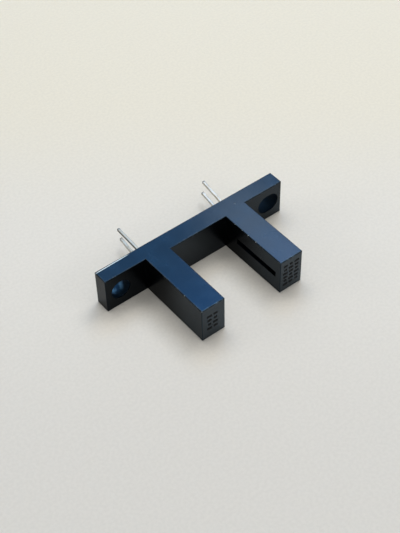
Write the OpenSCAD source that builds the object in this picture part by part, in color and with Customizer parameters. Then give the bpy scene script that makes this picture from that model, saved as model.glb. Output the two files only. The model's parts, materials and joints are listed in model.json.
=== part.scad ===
// Slotted optical switch. A moulded fork holds an infrared emitter in its left arm and a detector in
// its right arm, and whatever passes between the arms breaks the beam. Sizes are in millimetres.
// The switch lies on its side: X runs along the mounting bar, the arms point to -Y, the leads to +Y,
// and Z is up through the thickness. The origin is the middle of its footprint, on the surface below.

/* [Housing] */
// Width of the sensing gap between the arms
gap_width = 10; // [6:0.1:14]
// Width of each arm
arm_width = 4; // [3.8:0.1:5]
// Height of the arms, from the mounting face to their tips
arm_height = 15.1; // [13:0.1:18]
// Thickness of the whole housing
body_thickness = 6.1; // [5.7:0.1:8]
// Length of each mounting ear, from its arm to its end
ear_length = 7; // [5.5:0.1:10]
// Depth of the mounting bar at the ears
ear_depth = 2.5; // [1.8:0.1:3.5]
// Depth of the mounting bar between the arms
bridge_depth = 3; // [2:0.1:4]
// Rounding of the outer edges
edge_round = 0.12; // [0.06:0.01:0.4]

/* [Screw holes] */
// Diameter of the round hole, and width of the slotted one
hole_d = 3.2; // [2.2:0.1:3.4]
// How much longer than wide the slotted hole is
slot_play = 0.6; // [0.2:0.1:1.2]
// Distance from the end of an ear to the middle of its hole
hole_inset = 2.5; // [2.4:0.1:3]

/* [Light slits] */
// Width of each slit
slit_width = 1; // [0.4:0.1:2]
// Length of each slit
slit_length = 8.5; // [3:0.1:10]
// Distance from the tip of an arm to its slit
slit_from_tip = 1; // [0.9:0.1:2]

/* [Pockets] */
// Wall between a pocket and the sensing gap
inner_wall = 0.8; // [0.5:0.1:1]
// Wall between a pocket and the outer side of its arm
outer_wall = 0.7; // [0.5:0.1:1]
// Wall above and below a pocket
cheek_wall = 0.8; // [0.6:0.1:1]
// Wall at the tip of an arm
tip_wall = 0.9; // [0.6:0.1:1]

/* [Optical packages] */
// Thickness of a package behind its lens
package_thickness = 1.5; // [1.4:0.05:1.6]
// Height of a package along its arm
package_height = 5.7; // [4.5:0.1:7]
// Rounding of the two corners at the tip end of a package
package_round = 0.6; // [0.2:0.1:1]
// Clearance between a package and its pocket
package_clearance = 0.05; // [0.02:0.01:0.1]
// Diameter of a lens where it meets its package
lens_d = 1.8; // [1.2:0.1:2.4]
// How far a lens stands out of its package
lens_rise = 0.65; // [0.3:0.05:0.7]
// Distance from the tip end of a package to the optical axis
lens_from_end = 1.9; // [1.5:0.1:2.5]

/* [Leads] */
// Distance between the two leads of a package
lead_pitch = 2.54; // [2.3:0.01:2.8]
// Width of a lead
lead_width = 0.45; // [0.3:0.05:0.6]
// Thickness of a lead
lead_thickness = 0.4; // [0.25:0.05:0.5]
// Depth of the leads in a package, from the package's back to their middle
lead_depth = 0.63; // [0.55:0.01:0.75]
// Sideways shift of all leads along -X
lead_shift = 0.2; // [-0.25:0.05:0.25]
// Reach of the lower leads beyond the mounting face
lead_reach = 6.55; // [3:0.05:12]
// How much shorter the upper leads are trimmed
lead_trim = 0.3; // [0:0.05:1]
// Lean of the emitter's upper lead towards +X, in degrees
emitter_upper_lean = 2; // [-10:0.5:10]
// Lean of the emitter's lower lead towards +X, in degrees
emitter_lower_lean = 6.5; // [-10:0.5:10]
// Lean of the detector's leads towards +X, in degrees
detector_lean = 7; // [-10:0.5:10]
// Radius of the slight bend where a lead leaves the housing
bend_radius = 2; // [1:0.1:4]

/* [Chips and wires] */
// Width of the square emitter chip
emitter_chip_width = 0.35; // [0.2:0.05:0.6]
// Width of the square detector chip
detector_chip_width = 0.8; // [0.4:0.05:0.9]
// Thickness of both chips
chip_thickness = 0.2; // [0.1:0.05:0.25]
// Margin of a chip's pad around the chip
pad_margin = 0.2; // [0.1:0.05:0.25]
// Length of the bonding post at the end of an upper lead
post_length = 0.8; // [0.5:0.1:1.2]
// How far a bonding post reaches inwards from its lead
post_flag = 0.2; // [0.1:0.05:0.25]
// Diameter of a bond wire
wire_d = 0.04; // [0.03:0.01:0.06]
// Rise of a bond wire's loop above its chip
wire_rise = 0.2; // [0.16:0.01:0.25]

/* [Potting] */
// Depth of the resin that seals the mouth of a pocket
potting_depth = 2; // [1:0.1:3.5]
// Distance from the mounting face down to the resin
potting_recess = 0.1; // [0.05:0.05:0.5]

/* [Hidden] */

// The two sides of the fork, seen from above with the arms pointing down the page
left = -1;
right = 1;

// Housing places: the mounting face, the tips of the arms and the middle of the thickness
body_length = gap_width + 2 * arm_width + 2 * ear_length;
seat_y = (arm_height - lead_reach) / 2;
tip_y = seat_y - arm_height;
mid_z = body_thickness / 2;
hole_x = body_length / 2 - hole_inset;

// Pocket places, measured outwards from the middle of the gap
pocket_inner_x = gap_width / 2 + inner_wall;
pocket_outer_x = gap_width / 2 + arm_width - outer_wall;
pocket_width = pocket_outer_x - pocket_inner_x;
pocket_height = body_thickness - 2 * cheek_wall;
pocket_end_y = tip_y + tip_wall;

// Package places: it lies against the outer wall, with its lens towards the gap
package_back_x = pocket_outer_x - package_clearance;
package_front_x = package_back_x - package_thickness;
package_width = pocket_height - 2 * package_clearance;
package_end_y = pocket_end_y + package_clearance;
axis_y = package_end_y + lens_from_end;
lens_radius = (pow(lens_d / 2, 2) + pow(lens_rise, 2)) / (2 * lens_rise);
lens_root = 0.1;

// Lead places: the bend starts a little outside the mounting face
bend_y = seat_y + lead_thickness / 2;
bend_steps = 4;
upper_z = mid_z + lead_pitch / 2;
lower_z = mid_z - lead_pitch / 2;
upper_reach = lead_reach - lead_trim;

// The bond wire is a tube of flat sides, bonded to the middle of its post
wire_steps = 12;
wire_sides = 6;
post_bond_z = upper_z - (lead_width / 2 + post_flag) / 2;

// How far a cut runs past the face that it opens, and how finely circles are drawn
cut = 0.5;
curve_fn = 64;

// Distance from the middle of the gap to the middle of a package's leads
function lead_x(side) = package_back_x - lead_depth - side * lead_shift;

// Lean of the lead at the height z, positive away from the middle of the gap
function lean_out(side, z) =
    let (emitter_lean = z > mid_z ? emitter_upper_lean : emitter_lower_lean)
    side * (side == left ? emitter_lean : detector_lean);

// Half the width of the pad under a chip
function pad_half(chip_width) = chip_width / 2 + pad_margin;

// Middle line of a lead's bend, as points of x, y and the angle reached
function bend_line(x, lean) =
    let (steps = lean == 0 ? 0 : bend_steps)
    [for (i = [0 : steps])
        let (a = lean * i / max(steps, 1))
        [x + sign(lean) * bend_radius * (1 - cos(a)), bend_y + bend_radius * sin(abs(a)), a]];

// One side of a lead's bent strip: edge is -1 or 1, and the tip is cut level
function strip_edge(edge, x, lean, start_y, end_y) =
    let (line = bend_line(x, lean))
    let (last = line[len(line) - 1])
    let (half = edge * lead_thickness / 2)
    concat(
        [[x + half, start_y]],
        [for (p = line) [p[0] + half * cos(p[2]), p[1] - half * sin(p[2])]],
        [[last[0] + (end_y - last[1]) * tan(lean) + half / cos(lean), end_y]]
    );

function reversed(list) = [for (i = [len(list) - 1 : -1 : 0]) list[i]];

// Middle line of a bond wire from its chip to its post, for u from 0 to 1
function wire_x(u, chip_x, post_x) = chip_x + (post_x - chip_x) * u - wire_rise * sin(180 * u);
function wire_z(u) = mid_z + (post_bond_z - mid_z) * (1 - cos(180 * u)) / 2;

// Angle of the wire in its plane at u, from its slopes along X and Z
function wire_turn(u, chip_x, post_x) =
    atan2(
        (post_bond_z - mid_z) * PI * sin(180 * u) / 2,
        -(post_x - chip_x) + wire_rise * PI * cos(180 * u)
    );

// Points of the ring of a bond wire at u
function wire_ring(u, chip_x, post_x) =
    let (turn = wire_turn(u, chip_x, post_x))
    [for (j = [0 : wire_sides - 1])
        let (a = 360 * j / wire_sides)
        [
            wire_x(u, chip_x, post_x) + wire_d / 2 * cos(a) * sin(turn),
            axis_y + wire_d / 2 * sin(a),
            wire_z(u) + wire_d / 2 * cos(a) * cos(turn)
        ]];

// Puts what is drawn for the right arm on the side that is asked for
module on_arm(side) {
    if (side == left) {
        mirror([1, 0, 0]) children();
    } else {
        children();
    }
}

// Flat rectangle with rounded corners, its low corner at the origin
module rounded_rectangle(size, r) {
    translate([r, 0]) square([size[0] - 2 * r, size[1]]);
    translate([0, r]) square([size[0], size[1] - 2 * r]);
    for (x = [r, size[0] - r], y = [r, size[1] - r]) {
        translate([x, y]) circle(r = r, $fn = curve_fn);
    }
}

// Block with every edge rounded: what three rounded prisms, one along each axis, have in common
module soft_block(size, r) {
    intersection() {
        linear_extrude(size[2]) rounded_rectangle([size[0], size[1]], r);
        translate([0, size[1], 0]) rotate([90, 0, 0]) linear_extrude(size[1])
            rounded_rectangle([size[0], size[2]], r);
        rotate([90, 0, 90]) linear_extrude(size[0])
            rounded_rectangle([size[1], size[2]], r);
    }
}

// Mounting bar, bridge and arms. The bridge and the arms end inside the bar
module fork() {
    root_y = seat_y - ear_depth / 2;
    translate([-body_length / 2, seat_y - ear_depth, 0])
        soft_block([body_length, ear_depth, body_thickness], edge_round);
    translate([-(gap_width + arm_width) / 2, seat_y - bridge_depth, 0])
        soft_block([gap_width + arm_width, bridge_depth - ear_depth / 2, body_thickness], edge_round);
    for (side = [left, right]) {
        on_arm(side) translate([gap_width / 2, tip_y, 0])
            soft_block([arm_width, root_y - tip_y, body_thickness], edge_round);
    }
}

// Screw hole through an ear, longer along X by play
module screw_hole(play) {
    translate([0, seat_y + cut, mid_z]) rotate([90, 0, 0]) linear_extrude(ear_depth + 2 * cut) {
        for (x = [-play / 2, play / 2]) {
            translate([x, 0]) circle(d = hole_d, $fn = curve_fn);
        }
        if (play > 0) {
            square([play, hole_d], center = true);
        }
    }
}

// Pocket in an arm, open at the mounting face
module pocket() {
    translate([pocket_inner_x, pocket_end_y, cheek_wall])
        cube([pocket_width, seat_y + cut - pocket_end_y, pocket_height]);
}

// Light slit through the inner wall of an arm
module slit() {
    translate([gap_width / 2 - cut, tip_y + slit_from_tip, mid_z - slit_width / 2])
        cube([inner_wall + 2 * cut, slit_length, slit_width]);
}

// Epoxy body of a package with its lens, solid
module package_form() {
    translate([package_front_x, package_end_y, mid_z - package_width / 2])
        rotate([90, 0, 90]) linear_extrude(package_thickness) package_outline();
    intersection() {
        translate([package_front_x - lens_rise + lens_radius, axis_y, mid_z])
            sphere(r = lens_radius, $fn = curve_fn);
        translate([package_front_x - lens_rise, axis_y - lens_d / 2, mid_z - lens_d / 2])
            cube([lens_rise + lens_root, lens_d, lens_d]);
    }
}

// Face of a package: square at the lead end, rounded at the two corners of the tip end
module package_outline() {
    translate([package_round, 0]) square([package_height - package_round, package_width]);
    translate([0, package_round]) square([package_height, package_width - 2 * package_round]);
    for (z = [package_round, package_width - package_round]) {
        translate([package_round, z]) circle(r = package_round, $fn = curve_fn);
    }
}

// Strip of a lead from start_y inside its package to its tip
module lead_strip(side, z, start_y, reach) {
    x = lead_x(side);
    lean = lean_out(side, z);
    end_y = seat_y + reach;
    inner_edge = strip_edge(-1, x, lean, start_y, end_y);
    outer_edge = strip_edge(1, x, lean, start_y, end_y);
    translate([0, 0, z - lead_width / 2]) linear_extrude(lead_width)
        polygon(concat(inner_edge, reversed(outer_edge)));
}

// Lower lead, with the pad that carries the chip on the optical axis
module pad_lead(side, chip_width) {
    half = pad_half(chip_width);
    lead_strip(side, lower_z, axis_y - half, lead_reach);
    translate([lead_x(side) - lead_thickness / 2, axis_y - half, lower_z])
        cube([lead_thickness, 2 * half, mid_z + half - lower_z]);
}

// Upper lead, with the post that the bond wire ends on
module post_lead(side) {
    lead_strip(side, upper_z, axis_y - post_length / 2, upper_reach);
    translate([
        lead_x(side) - lead_thickness / 2,
        axis_y - post_length / 2,
        upper_z - lead_width / 2 - post_flag
    ])
        cube([lead_thickness, post_length, lead_width / 2 + post_flag]);
}

// Chip on the face of its pad, towards the lens
module chip(side, chip_width) {
    translate([
        lead_x(side) - lead_thickness / 2 - chip_thickness,
        axis_y - chip_width / 2,
        mid_z - chip_width / 2
    ])
        cube([chip_thickness, chip_width, chip_width]);
}

// Bond wire that loops from the middle of the chip to the post
module bond_wire(side) {
    post_x = lead_x(side) - lead_thickness / 2;
    chip_x = post_x - chip_thickness;
    points = [for (i = [0 : wire_steps]) each wire_ring(i / wire_steps, chip_x, post_x)];
    last_ring = wire_steps * wire_sides;
    side_faces = [
        for (i = [0 : wire_steps - 1], j = [0 : wire_sides - 1])
            let (k = (j + 1) % wire_sides)
            let (low = i * wire_sides)
            let (high = low + wire_sides)
            each [[low + j, high + j, low + k], [low + k, high + j, high + k]]
    ];
    start_face = [for (j = [0 : wire_sides - 1]) j];
    end_face = [for (j = [wire_sides - 1 : -1 : 0]) last_ring + j];
    polyhedron(points, concat(side_faces, [start_face, end_face]));
}

// Package cast round its two leads, its chip and its bond wire
module cast_package(side, chip_width) {
    difference() {
        package_form();
        pad_lead(side, chip_width);
        post_lead(side);
        chip(side, chip_width);
        bond_wire(side);
    }
}

// Resin in the mouth of a pocket, round the two leads
module potting(side) {
    difference() {
        translate([pocket_inner_x, seat_y - potting_recess - potting_depth, cheek_wall])
            cube([pocket_width, potting_depth, pocket_height]);
        for (z = [lower_z, upper_z]) {
            lead_strip(side, z, axis_y, lead_reach);
        }
    }
}

module housing() {
    color("#1c2632") difference() {
        fork();
        translate([-hole_x, 0, 0]) screw_hole(0);
        translate([hole_x, 0, 0]) screw_hole(slot_play);
        for (side = [left, right]) {
            on_arm(side) pocket();
            on_arm(side) slit();
        }
    }
}

module emitter_package() {
    color("#c9dde6", 0.6) on_arm(left) cast_package(left, emitter_chip_width);
}

module emitter_anode_lead() {
    color("silver") on_arm(left) post_lead(left);
}

module emitter_cathode_lead() {
    color("silver") on_arm(left) pad_lead(left, emitter_chip_width);
}

module emitter_chip() {
    color("#5b5f68") on_arm(left) chip(left, emitter_chip_width);
}

module emitter_bond_wire() {
    color("gold") on_arm(left) bond_wire(left);
}

module emitter_potting() {
    color("#14171b") on_arm(left) potting(left);
}

module detector_package() {
    color("#2a1a20", 0.9) on_arm(right) cast_package(right, detector_chip_width);
}

module detector_emitter_lead() {
    color("silver") on_arm(right) post_lead(right);
}

module detector_collector_lead() {
    color("silver") on_arm(right) pad_lead(right, detector_chip_width);
}

module detector_chip() {
    color("#3a4150") on_arm(right) chip(right, detector_chip_width);
}

module detector_bond_wire() {
    color("gold") on_arm(right) bond_wire(right);
}

module detector_potting() {
    color("#14171b") on_arm(right) potting(right);
}

housing();
emitter_package();
emitter_anode_lead();
emitter_cathode_lead();
emitter_chip();
emitter_bond_wire();
emitter_potting();
detector_package();
detector_emitter_lead();
detector_collector_lead();
detector_chip();
detector_bond_wire();
detector_potting();
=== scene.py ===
# %% [markdown]
# # A slotted optical switch, dressed in Blender
# The switch is a small fork of dark moulded plastic. An infrared emitter sits in one hollow arm and a
# detector in the other, and four tinned leads come out behind. The solids arrive finished, at their real
# size, so this lesson models little. It is about finish: plastic, metal, resin, light and a camera.

# %% Load the solids
import json
import math

import bmesh
import bpy
from mathutils import Matrix, Vector

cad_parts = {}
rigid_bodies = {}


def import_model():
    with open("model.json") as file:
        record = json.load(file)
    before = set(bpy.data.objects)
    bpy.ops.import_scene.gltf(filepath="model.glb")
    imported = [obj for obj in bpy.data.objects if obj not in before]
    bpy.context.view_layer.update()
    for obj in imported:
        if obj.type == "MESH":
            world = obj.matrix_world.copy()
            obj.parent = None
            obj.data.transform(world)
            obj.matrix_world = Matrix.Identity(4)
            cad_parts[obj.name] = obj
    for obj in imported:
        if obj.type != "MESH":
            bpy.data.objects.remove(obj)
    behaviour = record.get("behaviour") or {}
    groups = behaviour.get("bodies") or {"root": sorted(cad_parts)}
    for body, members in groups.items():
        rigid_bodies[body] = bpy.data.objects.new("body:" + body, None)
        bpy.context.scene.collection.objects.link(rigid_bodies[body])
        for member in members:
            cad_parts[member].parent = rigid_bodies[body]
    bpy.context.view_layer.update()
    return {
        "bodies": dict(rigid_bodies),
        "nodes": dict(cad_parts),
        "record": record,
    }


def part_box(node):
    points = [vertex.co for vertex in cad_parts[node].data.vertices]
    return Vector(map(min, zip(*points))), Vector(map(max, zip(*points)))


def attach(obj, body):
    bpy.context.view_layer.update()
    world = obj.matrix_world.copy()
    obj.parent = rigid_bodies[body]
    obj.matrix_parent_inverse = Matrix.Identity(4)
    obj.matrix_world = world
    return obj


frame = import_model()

MM = 0.001
nodes = frame["nodes"]
record = frame["record"]
print("Loaded", len(nodes), "solids")

# %% [markdown]
# ## An empty stage
# Blender opens with a cube, a lamp and a camera of its own. They would stand in the picture, so everything
# that did not come with the solids is taken out first.

# %% Clear the start-up objects
kept_objects = set(nodes.values()) | set(frame["bodies"].values())
for stray in [thing for thing in bpy.data.objects if thing not in kept_objects]:
    print("Removed", stray.name)
    bpy.data.objects.remove(stray)

# %% [markdown]
# ## The camera
# The switch is seen from above, from the side of its arm tips and a little to the left. A camera can be
# posed by hand in the viewport, but angles, a distance and a point to aim at can be read and changed later.
# The lens is long, which keeps the arms nearly parallel, and the camera leans a little to one side.

# %% Place the camera
view_azimuth = math.radians(-37.16)
view_elevation = math.radians(47.10)
view_roll = math.radians(-1.59)
view_distance = 175.14 * MM
view_aim = Vector((-0.565, 0.408, 0.0)) * MM
lens_length = 81.26
sensor_length = 36.0
nearest_seen = 10 * MM


def outward(azimuth, elevation):
    """A direction away from the switch. Azimuth 0 is in front of the arm tips, and 90 is at the right."""
    return Vector((
        math.sin(azimuth) * math.cos(elevation),
        -math.cos(azimuth) * math.cos(elevation),
        math.sin(elevation),
    ))


def looking_back(direction, away, aim):
    """The place and turn of an object that stands off in a direction and looks back at its aim."""
    turn = direction.to_track_quat("Z", "Y").to_matrix().to_4x4()
    return Matrix.Translation(aim + direction * away) @ turn


camera_data = bpy.data.cameras.new("camera")
camera_data.lens = lens_length
camera_data.sensor_width = sensor_length
camera_data.clip_start = nearest_seen
camera = bpy.data.objects.new("camera", camera_data)
bpy.context.scene.collection.objects.link(camera)
camera_stand = looking_back(outward(view_azimuth, view_elevation), view_distance, view_aim)
camera.matrix_world = camera_stand @ Matrix.Rotation(view_roll, 4, "Z")
bpy.context.scene.camera = camera
bpy.context.scene.view_settings.view_transform = "Standard"
print("Camera at", [round(part / MM, 1) for part in camera.matrix_world.translation], "mm")

# %% [markdown]
# ## Sums with sockets
# Every finish below is a small calculation: so much grain, less wear, a mask here. Nodes can be added and
# linked one by one, but then the calculation is lost among the links. This class wraps one socket, so that
# a plain Python sum such as 1 - mask adds its own Math nodes. Any other node comes from its node method.


# %% A socket that can be used in sums
class Signal:
    """A node's output in one node tree. A sum with it adds a Math node and gives the new output."""

    def __init__(self, tree, socket=None):
        self.tree = tree
        self.socket = socket

    def node(self, kind, settings=None, sockets=None, output=0):
        """Adds a node: its settings are set first, then its sockets get values or links."""
        made = self.tree.nodes.new(kind)
        for name, value in (settings or {}).items():
            setattr(made, name, value)
        for name, value in (sockets or {}).items():
            self.feed(made.inputs[name], value)
        return Signal(self.tree, made.outputs[output])

    def feed(self, socket, value):
        """Gives a socket a value, or links another signal to it."""
        if isinstance(value, Signal):
            self.tree.links.new(value.socket, socket)
        else:
            socket.default_value = value

    def math(self, operation, first, second=0.0):
        """Adds a Math node on two values."""
        return self.node("ShaderNodeMath", {"operation": operation}, {0: first, 1: second})

    def __add__(self, other):
        return self.math("ADD", self, other)

    def __sub__(self, other):
        return self.math("SUBTRACT", self, other)

    def __rsub__(self, other):
        return self.math("SUBTRACT", other, self)

    def __mul__(self, other):
        return self.math("MULTIPLY", self, other)

    def __abs__(self):
        return self.math("ABSOLUTE", self)

    __radd__ = __add__
    __rmul__ = __mul__


print("Signals can be added, subtracted and multiplied")

# %% [markdown]
# A finish is mostly masks, which go from 0 to 1, and colours that are blended by them. These short words
# stand for the nodes that do so. Colours go through a Mix node, since a Math node would turn them grey.

# %% Masks and blends
MIX_FACTOR, MIX_FIRST, MIX_SECOND, MIX_RESULT = 0, 6, 7, 2


def grey(brightness):
    """A neutral colour of that brightness."""
    return (brightness, brightness, brightness, 1.0)


def largest(first, *others):
    """The largest of several signals at each place."""
    for other in others:
        first = first.math("MAXIMUM", first, other)
    return first


def rise(value, start, end):
    """0 at start and 1 at end, with a soft slope between them."""
    ends = {"Value": value, "From Min": start, "From Max": end}
    return value.node("ShaderNodeMapRange", {"interpolation_type": "SMOOTHSTEP"}, ends)


def blend(mask, first, second):
    """The first colour where the mask is 0, and the second where it is 1."""
    sockets = {MIX_FACTOR: mask, MIX_FIRST: first, MIX_SECOND: second}
    return mask.node("ShaderNodeMix", {"data_type": "RGBA"}, sockets, output=MIX_RESULT)


print("Masks and blends are ready")

# %% [markdown]
# A pattern needs a place to start from. Here that is the place on the part in millimetres, so that a grain
# has a size that can be checked with a ruler. Unwrapping each mesh would give places too, but it would tie
# the pattern to the cuts of the unwrapping.


# %% Places and patterns
def split(where):
    """The three coordinates of a place, as three signals."""
    return [where.node("ShaderNodeSeparateXYZ", {}, {0: where}, output=axis) for axis in "XYZ"]


def distance(where, centre):
    """How far a place is from a centre."""
    ends = {0: where, 1: centre}
    return where.node("ShaderNodeVectorMath", {"operation": "DISTANCE"}, ends, output="Value")


def noise(where, scale=1.0, detail=2.0):
    """Cloudy noise from 0 to 1, with scale patches to the millimetre."""
    return where.node("ShaderNodeTexNoise", {}, {"Vector": where, "Scale": scale, "Detail": detail})


def patches(where, scale, limits, detail=2.0):
    """Noise that is 0 below the first limit and 1 above the second."""
    return rise(noise(where, scale, detail), *limits)


def bump(height, depth, strength, under=None):
    """A normal that is dented by a height from 0 to 1, depth millimetres deep."""
    sockets = {"Height": height, "Distance": depth * MM, "Strength": strength}
    if under:
        sockets["Normal"] = under
    return height.node("ShaderNodeBump", {}, sockets)


print("Places and patterns are ready")

# %% [markdown]
# Every finish starts alike: a material, its Principled shader, and the place on the part. What is the same
# all over goes straight into the shader's sockets, and only what changes from place to place is linked.


# %% A new finish
def new_finish(name, values):
    """A material, its shader, and the place on the part in millimetres that its patterns follow."""
    material = bpy.data.materials.new(name)
    material.use_nodes = True
    shader = material.node_tree.nodes["Principled BSDF"]
    for socket, value in values.items():
        shader.inputs[socket].default_value = value
    start = Signal(material.node_tree)
    place = start.node("ShaderNodeTexCoord", output="Object")
    scale = {"Vector": place, "Scale": 1 / MM}
    return material, shader, start.node("ShaderNodeVectorMath", {"operation": "SCALE"}, scale)


def dress(shader, signals):
    """Links the finished signals to the shader's sockets."""
    for socket, signal in signals.items():
        signal.feed(shader.inputs[socket], signal)


print("Finishes can be mixed")

# %% [markdown]
# ## The floor
# The switch lies on a plain pale sheet of backdrop paper. A flat plane is all the shape that it needs. It
# is stage, because it is no part of the switch.

# %% Lay the floor
floor_half = 1.5
floor_mesh = bpy.data.meshes.new("floor")
floor_corners = [(-floor_half, -floor_half, 0), (floor_half, -floor_half, 0),
                 (floor_half, floor_half, 0), (-floor_half, floor_half, 0)]
floor_mesh.from_pydata(floor_corners, [], [(0, 1, 2, 3)])
floor = bpy.data.objects.new("floor", floor_mesh)
bpy.context.scene.collection.objects.link(floor)
print("The floor is", 2 * floor_half, "m wide")

# %% [markdown]
# The paper is painted greyer in front and a paler, warmer cream behind, a painted falloff of the light
# from behind. A fine mottle keeps it from looking like a computer's blank. The lamps light only the middle
# of the sheet evenly. So farther out it answers less to
# them and glows instead, for the camera and for mirrored rays, which keeps it pale in low views.

# %% Tint the paper
# Painted light: the paper colours go from a greyer tone in front to a paler, warmer one behind.
floor_shaded_near_colour = (0.725, 0.705, 0.668, 1.0)
floor_half_lit_colour = (0.765, 0.742, 0.698, 1.0)
floor_lit_far_colour = (0.785, 0.745, 0.645, 1.0)
floor_fleck_colour = (0.42, 0.41, 0.39, 1.0)
fade_start, fade_middle, fade_end = -35.0, 5.0, 40.0
mottle_scale, mottle_limits, mottle_share = 2.2, (0.30, 0.70), 0.10
tooth_scale, tooth_depth, tooth_strength = 6.0, 0.01, 0.3

paper, paper_shader, paper_place = new_finish("floor_paper", {
    "Roughness": 0.75,
    "Specular IOR Level": 0.25,
    "Emission Strength": 1.0,
})
paper_x, paper_y, _ = split(paper_place)
paper_away = paper_x * -math.sin(view_azimuth) + paper_y * math.cos(view_azimuth)
# Painted light falloff, paler and warmer towards the back.
paper_front_falloff = blend(rise(paper_away, fade_start, fade_middle), floor_shaded_near_colour, floor_half_lit_colour)
paper_painted_falloff = blend(rise(paper_away, fade_middle, fade_end), paper_front_falloff, floor_lit_far_colour)
paper_mottle = patches(paper_place, mottle_scale, mottle_limits, detail=3.0)
paper_mottled = blend(paper_mottle * mottle_share, paper_painted_falloff, floor_fleck_colour)
paper_tooth = noise(paper_place, tooth_scale, detail=4.0)
print("The paper fades over", fade_end - fade_start, "mm")

# %% Let the far paper glow
glow_start, glow_end = 60.0, 600.0
glow_colour = (0.56, 0.545, 0.51, 1.0)
floor_dim_colour = (0.22, 0.21, 0.20, 1.0)
floor_middle = (0.0, 0.0, 0.0)

paper_far = rise(distance(paper_place, floor_middle), glow_start, glow_end)
paper_seen = largest(*[
    paper_place.node("ShaderNodeLightPath", output=kind)
    for kind in ("Is Camera Ray", "Is Glossy Ray", "Is Transmission Ray")
])
dress(paper_shader, {
    "Base Color": blend(paper_far, paper_mottled, floor_dim_colour),
    "Emission Color": blend(paper_far * paper_seen, grey(0.0), glow_colour),
    "Normal": bump(paper_tooth, tooth_depth, tooth_strength),
})
floor_mesh.materials.append(paper)
print("The paper glows from", glow_start, "mm outwards")

# %% [markdown]
# ## Light
# The room is dim and soft. One large lamp would light the switch, but the walls on its far side would go
# black, so three high lamps share the work, at the right, behind and in front. They light the floor and
# leave soft shadows close to the walls. Three low strips, behind, at the left and in front, draw thin lines
# along the edges. A dome with a gradient stands for the rest of the room.

# %% Paint the dome
dome_front = grey(0.20)
dome_back = (0.24, 0.26, 0.28, 1.0)
dome_axis = Vector((0.35, 0.75, 0.55)).normalized()
dome_blend_start, dome_blend_end = -0.30, 0.85

world = bpy.data.worlds.new("room")
world.use_nodes = True
bpy.context.scene.world = world
room = Signal(world.node_tree)
room_ends = {0: room.node("ShaderNodeTexCoord", output="Generated"), 1: dome_axis}
room_behind = room.node("ShaderNodeVectorMath", {"operation": "DOT_PRODUCT"}, room_ends, output="Value")
room_colour = blend(rise(room_behind, dome_blend_start, dome_blend_end), dome_front, dome_back)
room.feed(world.node_tree.nodes["Background"].inputs["Color"], room_colour)
print("The dome is painted")

# %% Hang the lamps
key_away, strip_away = 0.40, 0.60
key_colour, strip_colour = (1.0, 0.97, 0.90), (1.0, 0.97, 0.95)
cold_colour = (0.62, 0.86, 1.0)


def add_lamp(name, stand, width, length, power, colour):
    """A flat rectangular lamp in the place and turn given by stand."""
    data = bpy.data.lights.new(name, "AREA")
    data.shape = "RECTANGLE"
    data.size = width
    data.size_y = length
    data.energy = power
    data.color = colour
    lamp = bpy.data.objects.new(name, data)
    lamp.matrix_world = stand
    bpy.context.scene.collection.objects.link(lamp)
    print("Hung", name, "of", power, "W")


def soft_lamp(name, azimuth, elevation, away, width, length, power, colour):
    """A lamp that faces the switch, at two angles in degrees and a distance in metres."""
    direction = outward(math.radians(azimuth), math.radians(elevation))
    stand = looking_back(direction, away, Vector((0.0, 0.0, 0.0)))
    add_lamp(name, stand, width, length, power, colour)


soft_lamp("right_key", azimuth=108, elevation=62, away=key_away, width=0.18, length=0.18,
          power=0.58, colour=key_colour)
soft_lamp("rear_key", azimuth=176, elevation=63, away=key_away, width=0.18, length=0.18,
          power=0.38, colour=key_colour)
soft_lamp("front_key", azimuth=-25, elevation=72, away=key_away, width=0.25, length=0.25,
          power=0.26, colour=key_colour)
soft_lamp("rear_strip", azimuth=145, elevation=12, away=strip_away, width=0.60, length=0.09,
          power=0.25, colour=cold_colour)
soft_lamp("left_strip", azimuth=233, elevation=24, away=strip_away, width=0.30, length=0.12,
          power=0.34, colour=strip_colour)
soft_lamp("front_strip", azimuth=29, elevation=33, away=strip_away, width=0.30, length=0.12,
          power=0.34, colour=strip_colour)

# %% [markdown]
# The plastic is nearly black, so what shows on its top is mirrored light. Level panels hang just where the
# top faces mirror them: a broad blue sky, a deeper blue strip of it, and a small warm window. A picture of
# a sky on the dome would do it too, but panels can be moved and dimmed one by one.


# %% Hang level panels over the top faces
def level_panel(name, across, along, height, power, colour):
    """A lamp that hangs level, from one X to another and from one Y to another, in metres."""
    stand = Matrix.Translation((sum(across) / 2, sum(along) / 2, height))
    add_lamp(name, stand, across[1] - across[0], along[1] - along[0], power, colour)


level_panel("sky", across=(0.10, 0.37), along=(0.20, 0.39), height=0.40,
            power=0.395, colour=(0.18, 0.50, 0.91))
level_panel("deep_sky", across=(0.13, 0.34), along=(0.18, 0.27), height=0.39,
            power=0.125, colour=(0.05, 0.36, 1.0))
level_panel("window", across=(0.231, 0.268), along=(0.18, 0.312), height=0.38,
            power=0.072, colour=(1.0, 0.86, 0.75))

# %% [markdown]
# ## The housing's plastic
# The housing is injection-moulded in a blue-black, glossy plastic. Its body colour is almost black, and
# what makes it look blue is its surface: seen from above, it mirrors the light with a blue cast, while a
# face seen at a slant mirrors the pale floor and looks like charcoal. A blue body colour would stay blue at
# every angle. The specular tint of the shader fades out at grazing angles, so it is used instead.

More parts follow.
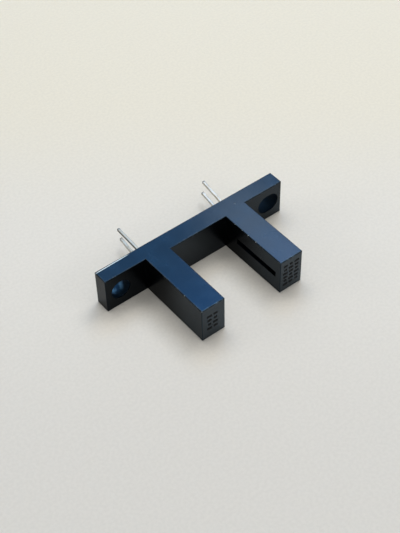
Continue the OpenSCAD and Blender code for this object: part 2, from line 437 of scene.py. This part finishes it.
# %% Measure the housing
housing_low, housing_high = [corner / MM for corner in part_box("housing")]
arm_tip_y = housing_low.y
rear_y = housing_high.y
top_z = housing_high.z
gap_half, arm_outer = 5.0, 9.0
ear_depth, bridge_depth = 2.5, 3.0
ear_front_y, bridge_front_y = rear_y - ear_depth, rear_y - bridge_depth
hole_x, hole_z = 13.5, top_z / 2
plan_blocks = [
    (housing_low.x, housing_high.x, ear_front_y, rear_y),
    (-arm_outer, arm_outer, bridge_front_y, rear_y),
    (-arm_outer, -gap_half, arm_tip_y, rear_y),
    (gap_half, arm_outer, arm_tip_y, rear_y),
]
for corner in (housing_low, housing_high):
    print("A corner of the housing, in mm:", [round(part, 2) for part in corner])

# %% [markdown]
# Wear is not spread evenly. It sits on the edges, so the shader has to know where they are. It could be
# painted on by hand, but a sum needs no picture: the fork is four blocks seen from above, and the depth of
# a place inside them is a few subtractions.


# %% Find the edges
def smaller(first, second):
    """The smaller of two signals at each place."""
    return first.math("MINIMUM", first, second)


def depth_in_plan(x, y):
    """How far a place lies inside the outline of the fork, seen from above."""
    depths = []
    for left, right, front, back in plan_blocks:
        across = (right - left) / 2 - abs(x - (left + right) / 2)
        along = (back - front) / 2 - abs(y - (front + back) / 2)
        depths.append(smaller(across, along))
    return largest(*depths)


def from_edges(x, y, z):
    """How far a place on the skin is from the nearest long edge."""
    return largest(depth_in_plan(x, y), 0.0) + smaller(abs(z - top_z), abs(z))


print("The fork is", len(plan_blocks), "blocks seen from above")

# %% [markdown]
# Single marks have places of their own: a few nicks on the upper edges, the gate where the plastic ran into
# the mould, and a painted highlight on the rear rim of the left ear, a pale line where its rounded edge
# would catch the light. A round mask with a soft rim does for a nick, and two soft steps, one up and one
# down, make a line.

# %% Place the single marks
nick_places = [
    (gap_half, -0.8, top_z), (gap_half, -2.4, top_z), (gap_half, -3.7, top_z), (gap_half, -5.4, top_z),
    (-arm_outer, -7.0, top_z), (-arm_outer, arm_tip_y, top_z), (-6.1, arm_tip_y, top_z),
]
nick_radii = [0.08, 0.08, 0.11, 0.10, 0.10, 0.12, 0.07]
spot_heart = 0.4
gate_place, gate_radius, gate_share = (7.7, 2.5, top_z), 0.22, 0.07
# Where the painted highlight on the left ear's rear rim lies.
rim_start, rim_end, rim_fade = -15.3, -11.2, 1.2
rim_inset, rim_lean = 0.25, 0.02
rim_half, rim_slope = 0.04, 0.05
rim_depth, rim_full_depth = 0.2, 0.1


def spot(place, centre, radius):
    """1 at the centre of a small round patch, falling to 0 at its radius."""
    return 1 - rise(distance(place, centre), radius * spot_heart, radius)


def between(value, start, end, slope):
    """1 between start and end, with soft slopes outside them."""
    return rise(value, start - slope, start) * (1 - rise(value, end, end + slope))


def painted_rim_highlight(x, y, z):
    """Painted highlight on the left ear's rear rim: a pale line, leaning a little, fading at both ends."""
    rim_y = rear_y - rim_inset + (x + hole_x) * rim_lean
    along = between(x, rim_start, rim_end, rim_fade)
    across = between(y - rim_y, -rim_half, rim_half, rim_slope)
    return along * across * rise(z, top_z - rim_depth, top_z - rim_full_depth)


def single_marks(place, x, y, z):
    """The nicks, the painted rim highlight and the gate in one mask."""
    nicks = [spot(place, centre, radius) for centre, radius in zip(nick_places, nick_radii)]
    gate = spot(place, gate_place, gate_radius) * gate_share
    return largest(*nicks, painted_rim_highlight(x, y, z), gate)


print("Placed", len(nick_places), "nicks, a gate and a rim")

# %% [markdown]
# Not every face shines alike. The side walls, the front of the left ear and the screw holes have a duller
# skin than the top. The normal tells which way a face looks, and its place tells how deep it lies between
# the arms, so masks for the walls need no seams. A second, matt shader is mixed in by the last of them.

# %% Find the walls and the dull skin
hole_reach, hole_slope = 2.05, 0.1
mouth_margin, mouth_slope = 0.2, 0.08
slant_start, slant_end = 0.3, 0.8
outer_skin, deep_skin, bridge_skin, ear_skin = 0.75, 1.0, 0.15, 0.75
recess_margin = 2.0
recess_start, recess_end = arm_tip_y + recess_margin, bridge_front_y - recess_margin


def in_bores(x, y, z):
    """1 on the walls of the two screw holes."""
    away_x, away_z = abs(x) - hole_x, z - hole_z
    squared = away_x * away_x + away_z * away_z
    near_axis = 1 - rise(squared.math("SQRT", squared), hole_reach, hole_reach + hole_slope)
    return near_axis * between(y, ear_front_y + mouth_margin, rear_y - mouth_margin, mouth_slope)


def facing(direction):
    """1 where one part of the normal is large, so that the surface faces along that axis."""
    return rise(abs(direction), slant_start, slant_end)


def level(mask, first, second):
    """The first number where the mask is 0, and the second where it is 1."""
    return first + mask * (second - first)


def find_walls(place, x, y, z):
    """Masks of the holes, the other walls, the depths of the fork and its dull skin."""
    across, along, upward = split(place.node("ShaderNodeNewGeometry", output="Normal"))
    bores = in_bores(x, y, z)
    deep = rise(y, recess_start, recess_end)
    inner = deep * (1 - rise(abs(x), arm_outer, housing_high.x))
    left_ear = 1 - rise(x, -arm_outer, -gap_half)
    side_skin = facing(across) * level(inner, outer_skin, deep_skin)
    front_skin = facing(along) * deep * level(left_ear, bridge_skin, ear_skin)
    return {
        "bores": bores,
        "wall": (1 - facing(upward)) * (1 - bores),
        "deep": deep,
        "skin": largest(bores, side_skin, front_skin),
    }


print("The holes are", 2 * hole_x, "mm apart")

# %% [markdown]
# The rest of the wear is noise that is kept to some places. Faint smudges lie on the top, scuffs only along
# the edges, and the upper edges of the arm tips are worn pale, with a painted highlight where their rounded
# edge would catch the light. A very fine grain covers everything.

# %% Find the wear and the painted highlights
smudge_scale, smudge_limits = 0.45, (0.42, 0.72)
grain_scale = 16.0
edge_start, edge_end = 0.05, 0.28
scuff_scale, scuff_limits = 1.9, (0.52, 0.70)
tip_start, tip_end = 0.08, 0.30
tip_depth, tip_full_depth = 0.25, 0.1
tip_scale, tip_limits, tip_share = 1.3, (0.46, 0.72), 0.6


def find_wear_and_highlights(place, x, y, z):
    """Masks of the smudges, the grain, the worn edges, the painted tip highlight and the pale marks."""
    edge = 1 - rise(from_edges(x, y, z), edge_start, edge_end)
    tip_top = rise(z, top_z - tip_depth, top_z - tip_full_depth)
    # Painted highlight, mixed with wear: a pale blue-white band along the upper front edge of each arm tip.
    tip_edge = (1 - rise(y - arm_tip_y, tip_start, tip_end)) * tip_top
    return {
        "smudge": patches(place, smudge_scale, smudge_limits, detail=3.0),
        "grain": noise(place, grain_scale),
        "scuff": edge * patches(place, scuff_scale, scuff_limits, detail=3.0),
        "tip": tip_edge * patches(place, tip_scale, tip_limits, detail=3.0) * tip_share,
        "chalk_and_highlight": single_marks(place, x, y, z),
    }


print("Edges are worn up to", edge_end, "mm deep")

# %% [markdown]
# Each kind of wear has its own colour, and they are laid over the body one after another: smudges first,
# then the tint of the holes and a paler tone on the walls near the arm tips, a painted reflection of the
# lit floor, then what is worn off or chipped, with painted highlights on the tip edges and the left ear's
# rear rim. The left hole has a painted reflection low in its wall: a bright blue patch where it would
# mirror the sky behind.

# %% Colour the wear and the painted light
body_dark, body_light = (0.0004, 0.0006, 0.0010, 1.0), (0.0010, 0.0015, 0.0023, 1.0)
smudge_colour = (0.003, 0.009, 0.019, 1.0)
bore_colour = (0.003, 0.009, 0.018, 1.0)
# Painted reflection: a paler tone for the walls near the arm tips, where they mirror the lit floor.
tip_wall_sheen_colour = (0.011, 0.017, 0.022, 1.0)
scuff_colour, scuff_share = (0.050, 0.062, 0.075, 1.0), 0.5
# Worn pale tip edges, tinted blue-white as a painted highlight.
tip_wear_and_glint_colour = (0.10, 0.16, 0.22, 1.0)
# Painted reflection: a bright blue patch low in the left hole's wall, where it would mirror the sky behind.
bore_reflection_dark, bore_reflection_bright = (0.010, 0.045, 0.11, 1.0), (0.11, 0.27, 0.47, 1.0)
bore_reflection_place, bore_reflection_radius = (-13.2, rear_y, 1.5), 2.0
bore_reflection_scale, bore_reflection_limits = 0.9, (0.40, 0.62)
# The pale colour of the nicks and the gate, used also for the painted highlight on the left ear's rear rim.
chalk_and_highlight_colour = (0.72, 0.84, 0.88, 1.0)


def wear_and_painted_light_colour(place, masks):
    """The body colour, with each kind of wear, painted reflection and painted highlight laid on in turn."""
    body = blend(masks["grain"], body_dark, body_light)
    smudged = blend(masks["smudge"] * (1 - masks["wall"]), body, smudge_colour)
    tinted = blend(masks["bores"], smudged, bore_colour)
    # Painted reflection: the walls near the arm tips are made paler, and deep in the fork they stay dark.
    tip_walls_sheened = blend(masks["wall"] * (1 - masks["deep"]), tinted, tip_wall_sheen_colour)
    scuffed = blend(masks["scuff"] * scuff_share, tip_walls_sheened, scuff_colour)
    tip_worn_and_glinted = blend(masks["tip"], scuffed, tip_wear_and_glint_colour)
    # Painted reflection in the left hole.
    bore_reflection_tone = blend(patches(place, bore_reflection_scale, bore_reflection_limits), bore_reflection_dark, bore_reflection_bright)
    painted_reflection = blend(spot(place, bore_reflection_place, bore_reflection_radius) * masks["bores"], tip_worn_and_glinted, bore_reflection_tone)
    return blend(masks["chalk_and_highlight"], painted_reflection, chalk_and_highlight_colour)


print("The rubbed patch is", 2 * bore_reflection_radius, "mm wide")

# %% [markdown]
# Now the plastic can be mixed. Worn places, the walls and the holes are rougher than the moulded skin.
# Two bumps go under the gloss: the slow waves of a skin that shrank as it cooled, and the fine grain on top
# of them.

# %% Mix the plastic
gloss_tint = (0.45, 0.72, 1.0, 1.0)
glossy_ior, matt_ior = 1.40, 1.15
smooth_roughness = 0.13
added_roughness = {
    "smudge": 0.01, "grain": 0.03, "scuff": 0.15, "chalk_and_highlight": 0.3, "wall": 0.11, "bores": 0.35,
}
wave_scale, wave_depth, wave_strength = 0.22, 0.03, 0.5
grain_depth, grain_strength = 0.004, 0.35


def moulded_plastic():
    """Blue-black plastic, glossy on top and matt where its skin is dull."""
    material, shader, place = new_finish("housing", {"IOR": glossy_ior, "Specular Tint": gloss_tint})
    x, y, z = split(place)
    masks = find_walls(place, x, y, z) | find_wear_and_highlights(place, x, y, z)
    roughened = [masks[name] * share for name, share in added_roughness.items()]
    waves = bump(noise(place, wave_scale, detail=1.0), wave_depth, wave_strength)
    signals = {
        "Base Color": wear_and_painted_light_colour(place, masks),
        "Roughness": sum(roughened, smooth_roughness),
        "Normal": bump(masks["grain"], grain_depth, grain_strength, under=waves),
    }
    dress(shader, signals)
    glossy = Signal(material.node_tree, shader.outputs["BSDF"])
    matt_values = {"IOR": matt_ior, "Specular Tint": gloss_tint}
    matt = place.node("ShaderNodeBsdfPrincipled", {}, matt_values | signals)
    both = place.node("ShaderNodeMixShader", {}, {0: masks["skin"], 1: glossy, 2: matt})
    both.feed(material.node_tree.nodes["Material Output"].inputs["Surface"], both)
    return material


finishes = {"housing": moulded_plastic()}
print("Mixed the housing's plastic")

# %% [markdown]
# ## Marks on the arm ends
# The ends of the arms carry small raised marks that the mould leaves. Here they are plain rows of short
# bars, a few on the emitter's arm and more on the other. Engraving the solid would change it, so the marks
# are a piece of their own, which stands a hair proud of each end. A box per bar is enough, since a mark is
# only a few hundredths of a millimetre high.

# %% Build the marks
mark_rise, mark_root = 0.045, 0.03
bar_lengths, bar_height = (0.80, 0.46, 0.64), 0.30
column_step = 2
emitter_rows = {"start": (-7.70, 1.80), "pitch": (1.05, 0.82), "columns": 2, "rows": 4}
detector_rows = {"start": (5.98, 1.25), "pitch": (1.02, 0.72), "columns": 3, "rows": 6}


def add_bar(mesh, centre, size):
    """A flat box on the end of an arm, given by its middle and its width and height."""
    bar_middle = Vector((centre[0], arm_tip_y + (mark_root - mark_rise) / 2, centre[1])) * MM
    bar_size = Vector((size[0], mark_rise + mark_root, size[1])) * MM
    shaped = Matrix.Translation(bar_middle) @ Matrix.Diagonal(bar_size).to_4x4()
    bmesh.ops.create_cube(mesh, size=1.0, matrix=shaped)


def add_rows(mesh, field):
    """Rows of bars from a lower left corner, whose lengths take turns."""
    for row in range(field["rows"]):
        for column in range(field["columns"]):
            x = field["start"][0] + column * field["pitch"][0]
            z = field["start"][1] + row * field["pitch"][1]
            length = bar_lengths[(row + column_step * column) % len(bar_lengths)]
            add_bar(mesh, (x, z), (length, bar_height))


marks_bmesh = bmesh.new()
add_rows(marks_bmesh, emitter_rows)
add_rows(marks_bmesh, detector_rows)
bmesh.ops.recalc_face_normals(marks_bmesh, faces=marks_bmesh.faces)
marks_mesh = bpy.data.meshes.new("arm_end_marks")
marks_bmesh.to_mesh(marks_mesh)
marks_bmesh.free()
marks = bpy.data.objects.new("arm_end_marks", marks_mesh)
bpy.context.scene.collection.objects.link(marks)
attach(marks, "root")
print("The marks have", len(marks_mesh.polygons), "faces")

# %% [markdown]
# Raised marks come out of the mould less polished than the skin around them, so they are the same plastic
# with a rough, grainy surface. They catch little light and stand out dark from the ends of the arms.

# %% Give the marks a duller plastic
mark_dark, mark_light = (0.0006, 0.0008, 0.0011, 1.0), (0.0018, 0.0022, 0.0028, 1.0)
mark_scale, mark_depth, mark_strength = 14.0, 0.01, 0.5
mark_roughness = (0.62, 0.77)


def dull_plastic():
    """The same plastic with a matt skin, as raised marks have."""
    material, shader, place = new_finish("arm_end_marks", {"IOR": 1.30})
    grain = noise(place, mark_scale, detail=3.0)
    dress(shader, {
        "Base Color": blend(grain, mark_dark, mark_light),
        "Roughness": level(grain, *mark_roughness),
        "Normal": bump(grain, mark_depth, mark_strength),
    })
    return material


marks_mesh.materials.append(dull_plastic())
print("The marks are dull")

# %% [markdown]
# ## Tinned leads
# The leads are stamped from a thin strip and dipped in tin. Tin is bright but soft: it shows streaks along
# the lead and dull patches, and the sheared tip is dark. The pair at the right kept more of its shine, and
# the flanks of the upper lead at the left carry painted shade. One metal serves all four, because the
# flanks are found by the direction that the surface faces, and each lead and its tip by their place.

# %% Choose the tin
lead_names = [name for name in nodes if name.endswith("_lead")]
lead_tip_y = max(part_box(name)[1].y for name in lead_names) / MM
upper_lead_cut = 0.3
tip_length = 0.45
upper_slope, side_slope = 0.1, 1.0
old_tin, old_dull = (0.42, 0.39, 0.33, 1.0), (0.33, 0.305, 0.255, 1.0)
fresh_tin, fresh_dull = (0.63, 0.565, 0.475, 1.0), (0.505, 0.455, 0.38, 1.0)
streak_colour, streak_share = (0.23, 0.215, 0.185, 1.0), 0.4
# The second flank colour is painted shade, for the flanks of the upper lead at the left.
flank_colour, upper_flank_shade_colour = (0.52, 0.505, 0.465, 1.0), (0.12, 0.12, 0.11, 1.0)
sheared_colour, sheared_share = (0.07, 0.067, 0.06, 1.0), 0.9
print("The longest lead ends at", round(lead_tip_y, 2), "mm")

# %% Tin the leads
flank_start, flank_end = 0.35, 0.80
streak_stretch = (14.0, 0.7, 14.0)
dull_scale, dull_limits = 1.3, (0.45, 0.75)
tin_roughness, dull_roughness, streak_roughness = 0.34, 0.12, 0.10
streak_depth, streak_strength = 0.01, 0.4


def stretched(where, factors):
    """The same place, counted faster or slower along each axis."""
    return where.node("ShaderNodeVectorMath", {"operation": "MULTIPLY"}, {0: where, 1: factors})


def tinned_metal():
    """Bright tin, streaked along the lead, with painted shade on one lead's flanks and a dark sheared tip.
    """
    material, shader, place = new_finish("tinned_lead", {"Metallic": 1.0})
    x, y, z = split(place)
    sideways = split(place.node("ShaderNodeNewGeometry", output="Normal"))[0]
    flank = rise(abs(sideways), flank_start, flank_end)
    streak = noise(stretched(place, streak_stretch), detail=3.0)
    dull = patches(place, dull_scale, dull_limits)
    upper = rise(z, hole_z - upper_slope, hole_z + upper_slope)
    fresh = rise(x, -side_slope, side_slope)
    tip_y = lead_tip_y - upper_lead_cut * upper
    sheared = rise(y - tip_y, -tip_length, 0.0)
    tin = blend(fresh, blend(dull, old_tin, old_dull), blend(dull, fresh_tin, fresh_dull))
    streaked = blend(streak * streak_share, tin, streak_colour)
    # Painted shade on the flanks of the upper lead at the left.
    flank_tone = blend((1 - fresh) * upper, flank_colour, upper_flank_shade_colour)
    flanked = blend(flank, streaked, flank_tone)
    dress(shader, {
        "Base Color": blend(sheared * sheared_share, flanked, sheared_colour),
        "Roughness": tin_roughness + dull * dull_roughness + streak * streak_roughness,
        "Normal": bump(streak, streak_depth, streak_strength),
    })
    return material


finishes["tinned_lead"] = tinned_metal()
print("Mixed the tin")

# %% [markdown]
# No stamped edge is as sharp as a solid's, and a sharp edge catches no light. A small bevel rounds the
# leads. The solids come with split corners, so a weld joins them before the bevel. Both are modifiers,
# which leave the mesh itself as it is.

# %% Round the leads' edges
lead_edge, edge_segments = 0.05, 3
weld_reach = 0.001

for name in lead_names:
    weld = nodes[name].modifiers.new("weld", "WELD")
    weld.merge_threshold = weld_reach * MM
    rounding = nodes[name].modifiers.new("rounding", "BEVEL")
    rounding.width = lead_edge * MM
    rounding.segments = edge_segments
    rounding.limit_method = "ANGLE"
    rounding.harden_normals = True
print("Rounded", len(lead_names), "leads")

# %% [markdown]
# ## Potting resin
# Once the packages are in their pockets, the maker pours black resin round the leads. It sets with a skin
# that is a little wavy and has pinholes from air that came up. Voronoi cells give the pinholes: only the
# heart of some cells is dented.

# %% Pour the resin
resin_dark, resin_light = (0.008, 0.008, 0.009, 1.0), (0.020, 0.020, 0.022, 1.0)
resin_wave_scale = 1.1
pinhole_scale, pinhole_start, pinhole_end = 1.6, 0.06, 0.13
resin_roughness, resin_wave_roughness, pinhole_roughness = 0.34, 0.22, 0.2
resin_depth, resin_strength = 0.06, 0.7


def poured_resin():
    """Black resin with a wavy skin and a few pinholes."""
    material, shader, place = new_finish("potting_resin", {"IOR": 1.55})
    wave = noise(place, resin_wave_scale)
    cell_sockets = {"Vector": place, "Scale": pinhole_scale}
    cells = place.node("ShaderNodeTexVoronoi", {}, cell_sockets, output="Distance")
    pinhole = 1 - rise(cells, pinhole_start, pinhole_end)
    dress(shader, {
        "Base Color": blend(wave, resin_dark, resin_light),
        "Roughness": resin_roughness + wave * resin_wave_roughness + pinhole * pinhole_roughness,
        "Normal": bump(wave - pinhole, resin_depth, resin_strength),
    })
    return material


finishes["potting_resin"] = poured_resin()
print("Poured the resin")

# %% [markdown]
# ## Epoxy, chips and gold
# Deep in the arms lie the two cast packages. The emitter's epoxy is clear, and the detector's is dark,
# since it has to let infrared through and keep daylight out. They hardly show, but a look into a slit
# meets them. One function casts both, since only their colours and the light that passes differ.

# %% Cast the epoxies
water_clear, water_cloudy, water_through = (0.74, 0.84, 0.90, 1.0), (0.66, 0.78, 0.86, 1.0), 0.9
dark_clear, dark_cloudy, dark_through = (0.030, 0.012, 0.020, 1.0), (0.050, 0.020, 0.030, 1.0), 0.35
flow_stretch, flow_scale = (1.0, 0.35, 1.0), 0.9
flow_roughness = (0.05, 0.13)
flow_depth, flow_strength = 0.03, 0.3


def cast_epoxy(name, clear, cloudy, through):
    """Epoxy with faint flow lines; through is the share of light that passes."""
    material, shader, place = new_finish(name, {"IOR": 1.54, "Transmission Weight": through})
    flow = noise(stretched(place, flow_stretch), flow_scale)
    dress(shader, {
        "Base Color": blend(flow, clear, cloudy),
        "Roughness": level(flow, *flow_roughness),
        "Normal": bump(flow, flow_depth, flow_strength),
    })
    return material


finishes["clear_epoxy"] = cast_epoxy("clear_epoxy", water_clear, water_cloudy, water_through)
finishes["dark_epoxy"] = cast_epoxy("dark_epoxy", dark_clear, dark_cloudy, dark_through)
print("Cast the epoxies")

# %% [markdown]
# The chips are cut from a semiconductor crystal, with lines of metal on the face, and a gold wire goes from
# each chip to its post. A chip's lines could be modelled, but they are thinner than a hair and hardly
# taller than the crystal, so a mask that repeats along Y draws them.

# %% Cut the chips
crystal_dark, crystal_light = (0.030, 0.034, 0.055, 1.0), (0.060, 0.066, 0.10, 1.0)
line_pitch, line_half, line_middle = 0.2, 0.02, 0.5
line_colour, line_metallic = grey(0.75), 0.9
saw_stretch = (1.0, 1.0, 30.0)
saw_roughness = (0.12, 0.27)


def cut_chip():
    """A dark crystal with fine saw lines and bright lines of metal on its face."""
    material, shader, place = new_finish("chip", {"IOR": 3.4})
    turns = split(place)[1] * (1 / line_pitch)
    across = abs(turns.math("FRACT", turns) - line_middle)
    metal = 1 - rise(across, line_half / line_pitch, 2 * line_half / line_pitch)
    saw = noise(stretched(place, saw_stretch))
    dress(shader, {
        "Base Color": blend(metal, blend(saw, crystal_dark, crystal_light), line_colour),
        "Metallic": metal * line_metallic,
        "Roughness": level(saw, *saw_roughness),
    })
    return material


finishes["chip"] = cut_chip()
print("Cut the chips")

# %% Draw the wire
gold_bright, gold_deep = (0.92, 0.66, 0.24, 1.0), (0.78, 0.52, 0.16, 1.0)
draw_stretch = (40.0, 40.0, 3.0)
draw_roughness = (0.18, 0.33)


def drawn_gold():
    """Gold wire with draw marks along its length."""
    material, shader, place = new_finish("bond_gold", {"Metallic": 1.0})
    draw = noise(stretched(place, draw_stretch))
    dress(shader, {
        "Base Color": blend(draw, gold_bright, gold_deep),
        "Roughness": level(draw, *draw_roughness),
    })
    return material


finishes["bond_gold"] = drawn_gold()
print("Drew the wire")

# %% [markdown]
# ## Dress the solids
# The record says which finish each solid has, so a loop hands them out. Nothing about the solids' shape
# changes here.

# %% Hand out the finishes
for row in record["subparts"]:
    solid = nodes[row["node"]]
    solid.material_slots[0].material = finishes[row["material_slot"]]
    print(row["node"], "wears", row["material_slot"])
